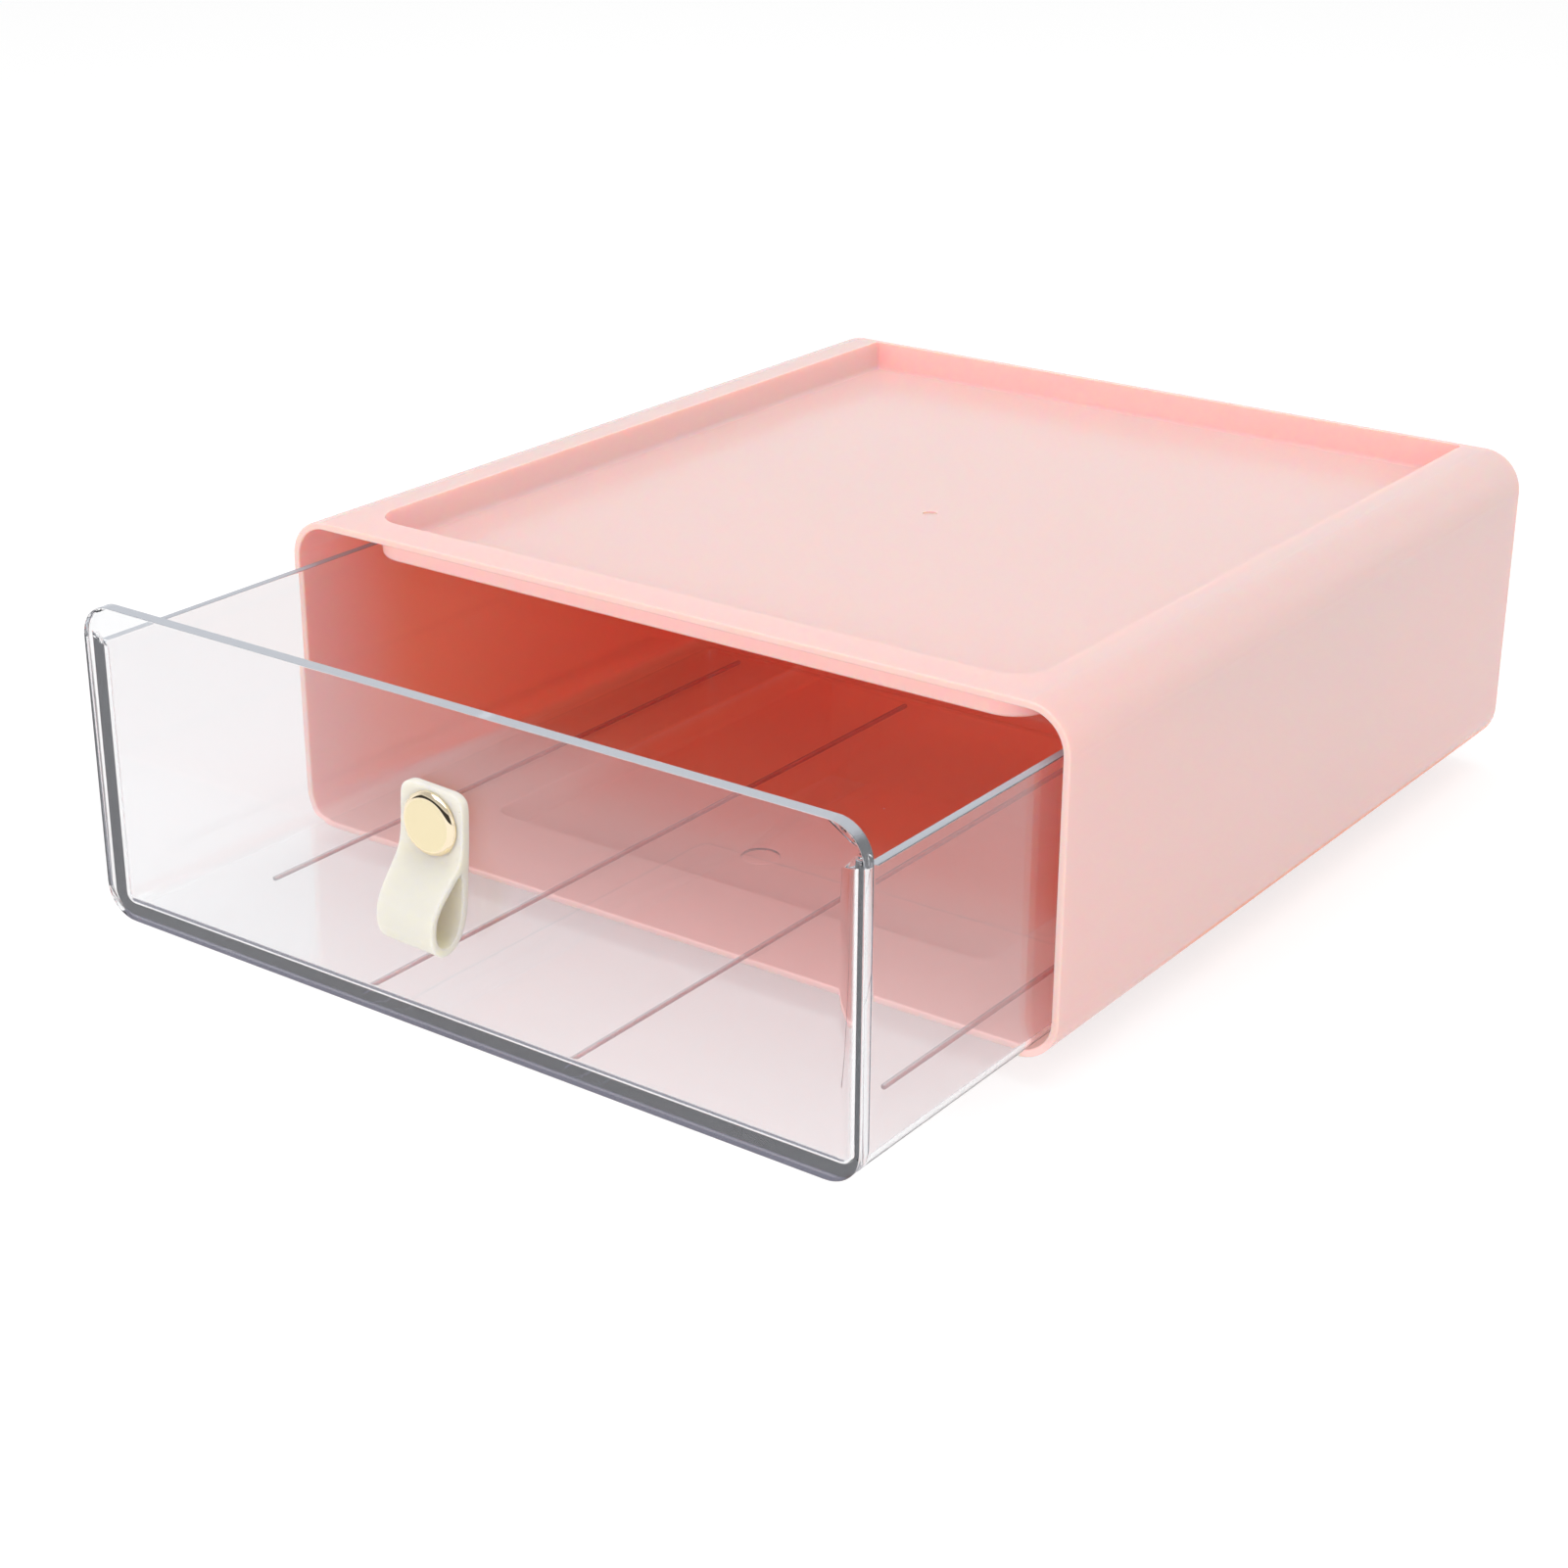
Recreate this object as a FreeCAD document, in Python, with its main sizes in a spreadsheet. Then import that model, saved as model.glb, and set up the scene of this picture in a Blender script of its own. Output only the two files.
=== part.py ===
import FreeCAD, Part
import Sketcher
import math
import operator
import os
import types

# Stackable drawer box: a moulded sleeve with a clear drawer, drawn with the drawer partly pulled out.
# X runs to the right, Y to the back and Z up, in millimetres.
# The origin is the middle of the flat underside that the box stands on.

SIZES = {
    # Sleeve
    "case_width": 200.0,
    "case_depth": 210.0,
    "case_height": 74.0,
    "case_corner": 9.5,
    "case_wall": 1.6,
    "case_back_wall": 2.0,
    "case_back_round": 1.0,
    # Stacking tray sunk into the sleeve's top
    "tray_side_lip": 15.0,
    "tray_front_lip": 9.3,
    "tray_depth": 7.1,
    "tray_corner": 8.0,
    "tray_back_corner": 1.0,
    # Plinth pressed out of the sleeve's floor, which drops into the tray of the box below
    "plinth_side_inset": 32.5,
    "plinth_end_inset": 25.0,
    "plinth_height": 6.0,
    "plinth_corner": 6.0,
    # Gate marks left by the moulding
    "case_gate_radius": 1.7,
    "case_gate_depth": 0.4,
    "drawer_gate_radius": 4.4,
    "drawer_gate_depth": 0.5,
    # Drawer panel
    "panel_thickness": 3.1,
    "panel_side_gap": 1.2,
    "panel_end_gap": 0.3,
    "panel_edge_round": 0.7,
    # Drawer tub behind the panel
    "tub_side_inset": 1.0,
    "tub_top_drop": 8.8,
    "tub_wall": 2.0,
    "tub_floor": 2.0,
    "tub_corner": 5.0,
    "tub_back_corner": 4.0,
    "tub_back_gap": 0.6,
    "tub_root_round": 2.6,
    "tub_rim_round": 0.4,
    # Runners under the drawer's floor
    "runner_height": 0.8,
    "runner_width": 0.8,
    "runner_gap": 0.1,
    "inner_runner_start": 4.0,
    "outer_runner_start": 29.0,
    "runner_end": 4.0,
    # How far the drawer is pulled out
    "pull_out": 62.8,
    # Strap pull
    "strap_width": 15.6,
    "strap_thickness": 1.7,
    "tab_thickness": 2.0,
    "strap_top": 7.4,
    "strap_split": 7.6,
    "strap_drop": 24.2,
    "strap_bow": 10.2,
    "bow_radius": 8.0,
    "heel_radius": 4.8,
    "strap_corner": 3.2,
    "strap_bend": 4.0,
    "strap_edge_round": 0.5,
    # Rivet that holds the strap
    "rivet_height": 46.8,
    "cap_radius": 6.5,
    "cap_thickness": 1.5,
    "cap_bevel_width": 1.05,
    "cap_bevel_depth": 0.8,
    "cap_back_chamfer": 0.25,
    "post_radius": 2.0,
    "post_fit": 0.08,
    "strap_play": 0.1,
    # Screw that comes through the panel from inside the drawer
    "screw_radius": 1.25,
    "screw_bite": 2.2,
    "screw_hole_fit": 0.25,
    "screw_thread_fit": 0.02,
    "screw_head_radius": 3.0,
    "screw_head_height": 1.7,
    "screw_crown": 0.6,
    "screw_slot_width": 0.8,
    "screw_slot_depth": 0.9,
    "bore_tip_gap": 0.3,
    # One overrun for every cut that has to pass a face
    "overrun": 1.0,
}

ANGLES = {
    "tray_draft": 6.0,
    "plinth_draft": 8.0,
}

SHARES = {
    "tray_block_share": 0.25,
    "floor_round_share": 0.75,
    "edge_round_share": 0.25,
    "hollow_floor_share": 0.8,
    "runner_pitch_share": 0.2734,
    "screw_slot_share": 0.7,
}

OPERATIONS = {"+": operator.add, "-": operator.sub, "*": operator.mul, "/": operator.truediv}


class Size:
    """A dimension that carries its value and its formula in the sheet together."""

    def __init__(self, value, formula):
        self.value = value
        self.formula = formula

    def join(self, sign, other, swapped=False):
        if not isinstance(other, Size):
            other = Size(float(other), str(other))
        first, second = (other, self) if swapped else (self, other)
        formula = "(" + first.formula + " " + sign + " " + second.formula + ")"
        return Size(OPERATIONS[sign](first.value, second.value), formula)

    def __add__(self, other):
        return self.join("+", other)

    def __sub__(self, other):
        return self.join("-", other)

    def __mul__(self, other):
        return self.join("*", other)

    def __rmul__(self, other):
        return self.join("*", other, swapped=True)

    def __truediv__(self, other):
        return self.join("/", other)

    def __neg__(self):
        return self.join("*", -1)


document = FreeCAD.newDocument("drawer_box")
sheet = document.addObject("Spreadsheet::Sheet", "Sizes")
dimensions = {**SIZES, **ANGLES, **SHARES}
for row, (name, number) in enumerate(dimensions.items(), start=1):
    sheet.set("A" + str(row), name)
    sheet.set("B" + str(row), str(number))
    sheet.setAlias("B" + str(row), name)
document.recompute()
size = types.SimpleNamespace(**{name: Size(number, "Sizes." + name) for name, number in dimensions.items()})
ZERO = size.case_width * 0


# Sketch and feature helpers

def bind(thing, path, value):
    thing.setExpression(path, value.formula)


def new_body(label, x=None, y=None, z=None):
    body = document.addObject("PartDesign::Body", label)
    body.Label = label
    for axis, value in (("x", x), ("y", y), ("z", z)):
        if value is not None:
            bind(body, ".Placement.Base." + axis, value)
    return body


def new_sketch(body, name, plane, offset=None):
    sketch = body.newObject("Sketcher::SketchObject", name)
    base = next(item for item in body.Origin.OriginFeatures if item.Role == plane)
    sketch.AttachmentSupport = [(base, "")]
    sketch.MapMode = "FlatFace"
    if offset is not None:
        bind(sketch, ".AttachmentOffset.Base.z", offset)
    return sketch


def constrain(sketch, value, kind, *parts):
    """Add a driven dimension and tie it to its formula."""
    index = sketch.addConstraint(Sketcher.Constraint(kind, *parts, value.value))
    sketch.setExpression("Constraints[" + str(index) + "]", value.formula)


def pin(sketch, axis, curve, point, value):
    """Hold one coordinate of a curve's point, X or Y, at a signed value from the sketch's origin."""
    if abs(value.value) < 1e-9:
        line = -2 if axis == "X" else -1
        sketch.addConstraint(Sketcher.Constraint("PointOnObject", curve, point, line))
    elif value.value > 0:
        constrain(sketch, value, "Distance" + axis, -1, 1, curve, point)
    else:
        constrain(sketch, -value, "Distance" + axis, curve, point, -1, 1)


def add_line(sketch, start, end):
    first = FreeCAD.Vector(start[0].value, start[1].value, 0)
    second = FreeCAD.Vector(end[0].value, end[1].value, 0)
    return sketch.addGeometry(Part.LineSegment(first, second), False)


def add_arc(sketch, centre, radius, start_angle, end_angle):
    middle = FreeCAD.Vector(centre[0].value, centre[1].value, 0)
    circle = Part.Circle(middle, FreeCAD.Vector(0, 0, 1), radius.value)
    return sketch.addGeometry(Part.ArcOfCircle(circle, start_angle, end_angle), False)


def rounded_rectangle(sketch, left, right, low, high, radii):
    """Draw a rectangle whose corners, from the lower left anticlockwise, have the given radii or None."""
    corners = [(left, low), (right, low), (right, high), (left, high)]
    turns = [(1, 1), (-1, 1), (-1, -1), (1, -1)]
    starts, ends = [], []
    for (x, y), (along, up), radius in zip(corners, turns, radii):
        reach = ZERO if radius is None else radius
        on_level = (x + along * reach, y)
        on_upright = (x, y + up * reach)
        level_first = along * up < 0
        starts.append(on_level if level_first else on_upright)
        ends.append(on_upright if level_first else on_level)
    lines = [add_line(sketch, ends[n], starts[(n + 1) % 4]) for n in range(4)]
    for number, value in enumerate((low, right, high, left)):
        kind, axis = ("Horizontal", "Y") if number % 2 == 0 else ("Vertical", "X")
        sketch.addConstraint(Sketcher.Constraint(kind, lines[number]))
        pin(sketch, axis, lines[number], 1, value)
    for number, radius in enumerate(radii):
        before, after = lines[number - 1], lines[number]
        if radius is None:
            sketch.addConstraint(Sketcher.Constraint("Coincident", before, 2, after, 1))
            continue
        x, y = corners[number]
        along, up = turns[number]
        angle = math.pi * (1 + number / 2)
        arc = add_arc(sketch, (x + along * radius, y + up * radius), radius, angle, angle + math.pi / 2)
        sketch.addConstraint(Sketcher.Constraint("Tangent", before, 2, arc, 1))
        sketch.addConstraint(Sketcher.Constraint("Tangent", arc, 2, after, 1))
        constrain(sketch, radius, "Radius", arc)


def closed_outline(sketch, points, arcs=None):
    """Join the points in turn, with straight lines or, where arcs says so, an arc about a centre."""
    arcs = arcs or {}
    count = len(points)
    sides = []
    for number, start in enumerate(points):
        end = points[(number + 1) % count]
        if number in arcs:
            centre, radius = arcs[number]
            angles = [math.atan2(y.value - centre[1].value, x.value - centre[0].value) for x, y in (start, end)]
            if angles[1] < angles[0]:
                angles[1] += 2 * math.pi
            side = add_arc(sketch, centre, radius, *angles)
            constrain(sketch, radius, "Radius", side)
        else:
            side = add_line(sketch, start, end)
        sides.append(side)
    for number, (x, y) in enumerate(points):
        sketch.addConstraint(Sketcher.Constraint("Coincident", sides[number - 1], 2, sides[number], 1))
        pin(sketch, "X", sides[number], 1, x)
        pin(sketch, "Y", sides[number], 1, y)


def add_circle(sketch, x, y, radius):
    middle = FreeCAD.Vector(x.value, y.value, 0)
    circle = sketch.addGeometry(Part.Circle(middle, FreeCAD.Vector(0, 0, 1), radius.value), False)
    constrain(sketch, radius, "Radius", circle)
    pin(sketch, "X", circle, 3, x)
    pin(sketch, "Y", circle, 3, y)


def extrude(body, kind, name, sketch, length, reverse=False, draft=None, both=False):
    """Pad or pocket a sketch and make sure that it really adds or removes material."""
    before = body.Shape.Volume if body.Shape.Solids else 0
    feature = body.newObject("PartDesign::" + kind, name)
    feature.Profile = sketch
    bind(feature, "Length", length)
    feature.Reversed = reverse
    if both:
        feature.SideType = "Symmetric"
    if draft is not None:
        bind(feature, "TaperAngle", draft)
    sketch.Visibility = False
    document.recompute()
    gained = feature.Shape.Volume - before
    if (gained > 0) != (kind == "Pad"):
        raise ValueError(name + " changes the volume by " + str(round(gained, 3)))
    return feature


def revolve(body, name, sketch):
    """Turn a half section about the sketch's own vertical axis."""
    feature = body.newObject("PartDesign::Revolution", name)
    feature.Profile = sketch
    feature.ReferenceAxis = (sketch, ["V_Axis"])
    feature.Angle = 360.0
    document.recompute()
    return feature


def mirror_feature(body, name, feature):
    """Repeat a feature on the other side of the body's middle plane."""
    twin = body.newObject("PartDesign::Mirrored", name)
    twin.Originals = [feature]
    middle = next(item for item in body.Origin.OriginFeatures if item.Role == "YZ_Plane")
    twin.MirrorPlane = (middle, [""])
    body.Tip = twin
    document.recompute()
    return twin


def edges_of(feature, test):
    """Name the edges whose box, in the body's own frame, passes a test."""
    names = []
    for number, edge in enumerate(feature.Shape.Edges, start=1):
        if test(edge.BoundBox, edge):
            names.append("Edge" + str(number))
    if not names:
        raise ValueError("no edge found on " + feature.Name)
    return names


def round_edges(body, name, base, test, radius):
    feature = body.newObject("PartDesign::Fillet", name)
    feature.Base = (base, edges_of(base, test))
    bind(feature, "Radius", radius)
    document.recompute()
    return feature


NEAR = SIZES["overrun"] / 1000


def same(first, second):
    return abs(first - second) < NEAR


def at_height(level):
    """Edges that lie flat at one height."""
    return lambda box, edge: same(box.ZMin, level.value) and same(box.ZMax, level.value)


def at_depth(level):
    """Edges that lie in one upright plane across the depth."""
    return lambda box, edge: same(box.YMin, level.value) and same(box.YMax, level.value)


# Sleeve
# Its own frame stands on the underside of its side walls, with the plinth below that.

half_width = size.case_width / 2
half_depth = size.case_depth / 2
front_face = -half_depth
inner_half_width = half_width - size.case_wall
inner_top = size.case_height - size.case_wall
inner_corner = size.case_corner - size.case_wall
tray_half_width = half_width - size.tray_side_lip
tray_front = front_face + size.tray_front_lip
tray_level = size.case_height - size.tray_depth
plinth_half_width = half_width - size.plinth_side_inset
plinth_half_depth = half_depth - size.plinth_end_inset
well_corner = size.plinth_corner - size.case_wall
floor_round = size.case_wall * size.floor_round_share
edge_round = size.case_wall * size.edge_round_share


def build_case():
    body = new_body("case", z=size.plinth_height)

    outline = new_sketch(body, "sleeve_outline", "XZ_Plane", half_depth)
    rounded_rectangle(outline, -half_width, half_width, ZERO, size.case_height, [size.case_corner] * 4)
    extrude(body, "Pad", "sleeve", outline, size.case_depth, reverse=True)

    hollow = new_sketch(body, "cavity_outline", "XZ_Plane", half_depth)
    rounded_rectangle(hollow, -inner_half_width, inner_half_width, size.case_wall, inner_top,
                      [inner_corner] * 4)
    extrude(body, "Pocket", "cavity", hollow, size.case_depth - size.case_back_wall)

    block = new_sketch(body, "tray_block_outline", "XY_Plane", size.case_height)
    block_side = tray_half_width + size.case_wall
    block_front = tray_front - size.case_wall
    block_back = half_depth - size.case_back_wall * size.tray_block_share
    block_corner = size.tray_corner + size.case_wall
    rounded_rectangle(block, -block_side, block_side, block_front, block_back,
                      [block_corner, block_corner, None, None])
    tray_bottom = size.tray_depth + size.case_wall
    extrude(body, "Pad", "tray_block", block, tray_bottom, reverse=True, draft=-size.tray_draft)

    recess = new_sketch(body, "tray_outline", "XY_Plane", size.case_height)
    corners = [size.tray_corner, size.tray_corner, size.tray_back_corner, size.tray_back_corner]
    rounded_rectangle(recess, -tray_half_width, tray_half_width, tray_front,
                      half_depth - size.case_back_wall, corners)
    extrude(body, "Pocket", "tray", recess, size.tray_depth, draft=-size.tray_draft)

    foot = new_sketch(body, "plinth_outline", "XY_Plane")
    rounded_rectangle(foot, -plinth_half_width, plinth_half_width, -plinth_half_depth, plinth_half_depth,
                      [size.plinth_corner] * 4)
    extrude(body, "Pad", "plinth", foot, size.plinth_height, reverse=True, draft=-size.plinth_draft)

    well = new_sketch(body, "well_outline", "XY_Plane", size.case_wall)
    well_side = plinth_half_width - size.case_wall
    well_end = plinth_half_depth - size.case_wall
    rounded_rectangle(well, -well_side, well_side, -well_end, well_end, [well_corner] * 4)
    last = extrude(body, "Pocket", "well", well, size.plinth_height, draft=-size.plinth_draft)

    underside = size.case_height - tray_bottom

    def well_rim(box, edge):
        level = at_height(size.case_wall)(box, edge)
        return level and abs(edge.CenterOfMass.y) < plinth_half_depth.value \
            and abs(edge.CenterOfMass.x) < plinth_half_width.value

    rounds = (
        ("tray_floor_round", at_height(tray_level), floor_round),
        ("tray_underside_round", at_height(underside), floor_round),
        ("well_floor_round", at_height(size.case_wall - size.plinth_height), floor_round),
        ("well_rim_round", well_rim, edge_round),
        ("plinth_round", at_height(-size.plinth_height), floor_round),
        ("back_round", at_depth(half_depth), size.case_back_round),
        ("mouth_round", at_depth(front_face), edge_round),
    )
    for name, test, radius in rounds:
        last = round_edges(body, name, last, test, radius)

    mark = new_sketch(body, "gate_mark", "XY_Plane", tray_level)
    add_circle(mark, ZERO, ZERO, size.case_gate_radius)
    extrude(body, "Pocket", "gate_dimple", mark, size.case_gate_depth)
    return body


# Drawer
# Its own frame starts at the foot of the panel's front face, so that it slides along Y as one piece.

panel_width = 2 * (inner_half_width - size.panel_side_gap)
panel_half = panel_width / 2
panel_height = inner_top - size.case_wall - 2 * size.panel_end_gap
panel_corner = inner_corner - size.panel_end_gap
tub_half = panel_half - size.tub_side_inset
tub_under = size.runner_gap + size.runner_height - size.panel_end_gap
tub_top = panel_height - size.tub_top_drop
tub_back = size.case_depth - size.case_back_wall - size.tub_back_gap
tub_inner_corner = size.tub_corner - size.tub_wall
drawer_front = front_face - size.pull_out
drawer_foot = size.plinth_height + size.case_wall + size.panel_end_gap


def build_drawer():
    body = new_body("drawer", y=drawer_front, z=drawer_foot)

    face = new_sketch(body, "panel_outline", "XZ_Plane")
    rounded_rectangle(face, -panel_half, panel_half, ZERO, panel_height, [panel_corner] * 4)
    panel = extrude(body, "Pad", "panel", face, size.panel_thickness, reverse=True)
    panel = round_edges(body, "panel_front_round", panel, at_depth(ZERO), size.panel_edge_round)
    round_edges(body, "panel_back_round", panel, at_depth(size.panel_thickness), size.panel_edge_round / 2)

    inside_panel = size.panel_thickness / 2
    section = new_sketch(body, "tub_section", "XZ_Plane", -inside_panel)
    rounded_rectangle(section, -tub_half, tub_half, tub_under, tub_top,
                      [size.tub_corner, size.tub_corner, None, None])
    tub = extrude(body, "Pad", "tub", section, tub_back - inside_panel, reverse=True)

    def back_edges(box, edge):
        return at_depth(tub_back)(box, edge) and edge.CenterOfMass.z < tub_top.value - NEAR

    round_edges(body, "tub_back_round", tub, back_edges, size.tub_back_corner)

    inside = new_sketch(body, "hollow_outline", "XY_Plane", tub_top)
    inner_half = tub_half - size.tub_wall
    rounded_rectangle(inside, -inner_half, inner_half, size.panel_thickness, tub_back - size.tub_wall,
                      [tub_inner_corner] * 4)
    floor_level = tub_under + size.tub_floor
    hollow = extrude(body, "Pocket", "hollow", inside, tub_top - floor_level)
    hollow_round = tub_inner_corner * size.hollow_floor_share
    hollow = round_edges(body, "hollow_floor_round", hollow, at_height(floor_level), hollow_round)

    def rim(box, edge):
        return at_height(tub_top)(box, edge) and not at_depth(size.panel_thickness)(box, edge)

    round_edges(body, "rim_round", hollow, rim, size.tub_rim_round)

    root = new_sketch(body, "root_section", "YZ_Plane", tub_half)
    root_low = tub_top - size.tub_rim_round
    root_high = tub_top + size.tub_root_round
    root_end = size.panel_thickness + size.tub_root_round
    corners = [(size.panel_thickness, root_high), (root_end, tub_top), (root_end, root_low),
               (inside_panel, root_low), (inside_panel, root_high)]
    closed_outline(root, corners, {0: ((root_end, root_high), size.tub_root_round)})
    web = extrude(body, "Pad", "root", root, size.tub_wall, reverse=True)
    mirror_feature(body, "root_pair", web)

    runners = new_sketch(body, "runner_outlines", "XY_Plane", tub_under)
    half_runner = size.runner_width / 2
    runner_back = tub_back - size.tub_back_corner - size.runner_end
    runner_pitch = 2 * tub_half * size.runner_pitch_share
    for column, start in ((-1.5, size.outer_runner_start), (-0.5, size.inner_runner_start),
                          (0.5, size.inner_runner_start), (1.5, size.outer_runner_start)):
        middle = column * runner_pitch
        rounded_rectangle(runners, middle - half_runner, middle + half_runner, size.panel_thickness + start,
                          runner_back, [None] * 4)
    extrude(body, "Pad", "runners", runners, size.runner_height, reverse=True)

    mark = new_sketch(body, "gate_mark", "XY_Plane", tub_under)
    add_circle(mark, ZERO, tub_back / 2, size.drawer_gate_radius)
    extrude(body, "Pocket", "gate_dimple", mark, size.drawer_gate_depth, reverse=True)

    hole = new_sketch(body, "screw_hole_outline", "XZ_Plane")
    add_circle(hole, ZERO, size.rivet_height, size.screw_radius + size.screw_hole_fit)
    extrude(body, "Pocket", "screw_hole", hole, size.panel_thickness)
    return body


# Strap pull
# Its own frame starts on the rivet's axis at the panel's front face, which is where it turns.

rivet_z = drawer_foot + size.rivet_height
strap_back = -size.strap_play
tab_front = strap_back - size.tab_thickness
bow_x = strap_back - size.strap_bow + size.bow_radius
heel_x = strap_back - size.heel_radius
heel_z = size.heel_radius - size.strap_drop


def draw_loop(sketch):
    """Draw the strap from the side: a flat tab whose front leg bows out, folds under and comes back up."""
    centre_gap = size.bow_radius.value - size.heel_radius.value
    bow_rise = math.sqrt(centre_gap ** 2 - (bow_x.value - heel_x.value) ** 2)
    bow_centre = (bow_x, Size(heel_z.value + bow_rise, "0"))
    heel_centre = (heel_x, heel_z)
    meeting = math.atan2(-bow_rise, heel_x.value - bow_x.value) + 2 * math.pi
    top_back = (strap_back, size.strap_top)
    top_front = (tab_front, size.strap_top)
    split = (tab_front, -size.strap_split)
    across, rise = (end.value - middle.value for end, middle in zip(split, bow_centre))
    touch = math.atan2(rise, across) + math.acos(size.bow_radius.value / math.hypot(across, rise))

    def on_bow(radius):
        """Find the place where the leg touches an arc round the bow's centre."""
        turns = (math.cos(touch), math.sin(touch))
        return tuple(Size(middle.value + radius.value * turn, "0") for middle, turn in zip(bow_centre, turns))

    back = add_line(sketch, (strap_back, heel_z), top_back)
    top = add_line(sketch, top_back, top_front)
    tab = add_line(sketch, top_front, split)
    leg = add_line(sketch, split, on_bow(size.bow_radius))
    bow = add_arc(sketch, bow_centre, size.bow_radius, touch, meeting)
    heel = add_arc(sketch, heel_centre, size.heel_radius, meeting, math.pi * 2)
    for first, second in ((back, top), (top, tab), (tab, leg)):
        sketch.addConstraint(Sketcher.Constraint("Coincident", first, 2, second, 1))
    for first, second in ((leg, bow), (bow, heel), (heel, back)):
        sketch.addConstraint(Sketcher.Constraint("Tangent", first, 2, second, 1))
    sketch.addConstraint(Sketcher.Constraint("Vertical", back))
    sketch.addConstraint(Sketcher.Constraint("Horizontal", top))
    sketch.addConstraint(Sketcher.Constraint("Vertical", tab))
    pin(sketch, "X", back, 2, strap_back)
    pin(sketch, "Y", back, 2, size.strap_top)
    pin(sketch, "X", tab, 2, tab_front)
    pin(sketch, "Y", tab, 2, -size.strap_split)
    constrain(sketch, size.bow_radius, "Radius", bow)
    constrain(sketch, size.heel_radius, "Radius", heel)
    pin(sketch, "X", bow, 3, bow_x)
    pin(sketch, "Y", heel, 3, heel_z)

    inner_radius = size.bow_radius - size.strap_thickness
    inner_heel_radius = size.heel_radius - size.strap_thickness
    apex = (strap_back - size.strap_thickness, -size.strap_split - size.strap_thickness)
    inner_leg = add_line(sketch, apex, on_bow(inner_radius))
    inner_bow = add_arc(sketch, bow_centre, inner_radius, touch, meeting)
    inner_heel = add_arc(sketch, heel_centre, inner_heel_radius, meeting, math.pi * 2)
    inner_back = add_line(sketch, (apex[0], heel_z), apex)
    for first, second in ((inner_leg, inner_bow), (inner_bow, inner_heel), (inner_heel, inner_back)):
        sketch.addConstraint(Sketcher.Constraint("Tangent", first, 2, second, 1))
    sketch.addConstraint(Sketcher.Constraint("Coincident", inner_back, 2, inner_leg, 1))
    sketch.addConstraint(Sketcher.Constraint("Vertical", inner_back))
    sketch.addConstraint(Sketcher.Constraint("Parallel", inner_leg, leg))
    sketch.addConstraint(Sketcher.Constraint("Coincident", inner_bow, 3, bow, 3))
    sketch.addConstraint(Sketcher.Constraint("Coincident", inner_heel, 3, heel, 3))
    constrain(sketch, inner_radius, "Radius", inner_bow)


def build_strap():
    body = new_body("pull_strap", y=drawer_front, z=rivet_z)
    side = new_sketch(body, "strap_side", "YZ_Plane")
    draw_loop(side)
    strip = extrude(body, "Pad", "strap", side, size.strap_width, both=True)

    def bend(box, edge):
        return at_height(-size.strap_split)(box, edge)

    def top_corners(box, edge):
        return same(box.ZMin, size.strap_top.value) and same(box.XLength, 0)

    def sides(box, edge):
        return same(abs(edge.CenterOfMass.x), size.strap_width.value / 2) and same(box.XLength, 0)

    strip = round_edges(body, "leg_bend", strip, bend, size.strap_bend)
    strip = round_edges(body, "tab_corners", strip, top_corners, size.strap_corner)
    round_edges(body, "strap_edges", strip, sides, size.strap_edge_round)

    eye = new_sketch(body, "eye_outline", "XZ_Plane")
    add_circle(eye, ZERO, ZERO, size.post_radius + size.post_fit)
    extrude(body, "Pocket", "eye", eye, size.tab_thickness + size.overrun, reverse=True)
    return body


# Rivet
# The cap's post passes the strap's eye and seats on the panel, and the screw pulls it tight from inside.

cap_back = tab_front - size.strap_play
cap_front = cap_back - size.cap_thickness
thread_radius = size.screw_radius - size.screw_thread_fit
bore_depth = size.screw_bite + size.bore_tip_gap


def build_cap():
    body = new_body("rivet_cap", y=drawer_front, z=rivet_z)
    half = new_sketch(body, "cap_half_section", "XY_Plane")
    closed_outline(half, [
        (size.screw_radius, ZERO),
        (size.post_radius, ZERO),
        (size.post_radius, cap_back),
        (size.cap_radius - size.cap_back_chamfer, cap_back),
        (size.cap_radius, cap_back - size.cap_back_chamfer),
        (size.cap_radius, cap_front + size.cap_bevel_depth),
        (size.cap_radius - size.cap_bevel_width, cap_front),
        (ZERO, cap_front),
        (ZERO, -bore_depth),
        (size.screw_radius, -bore_depth),
    ])
    revolve(body, "cap", half)
    return body


def build_screw():
    body = new_body("rivet_screw", y=drawer_front + size.panel_thickness, z=rivet_z)
    half = new_sketch(body, "screw_half_section", "XY_Plane")
    tip = -size.panel_thickness - size.screw_bite
    closed_outline(half, [
        (ZERO, tip),
        (thread_radius, tip),
        (thread_radius, ZERO),
        (size.screw_head_radius, ZERO),
        (size.screw_head_radius, size.screw_head_height - size.screw_crown),
        (size.screw_head_radius - size.screw_crown, size.screw_head_height),
        (ZERO, size.screw_head_height),
    ])
    revolve(body, "screw", half)
    cross = new_sketch(body, "cross_outline", "XZ_Plane", -size.screw_head_height)
    reach = size.screw_head_radius * size.screw_slot_share
    narrow = size.screw_slot_width / 2
    closed_outline(cross, [
        (reach, -narrow), (reach, narrow), (narrow, narrow), (narrow, reach), (-narrow, reach),
        (-narrow, narrow), (-reach, narrow), (-reach, -narrow), (-narrow, -narrow), (-narrow, -reach),
        (narrow, -reach), (narrow, -narrow),
    ])
    extrude(body, "Pocket", "cross_recess", cross, size.screw_slot_depth, reverse=True)
    return body


pieces = [build_case(), build_drawer(), build_strap(), build_cap(), build_screw()]
document.recompute()

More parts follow.
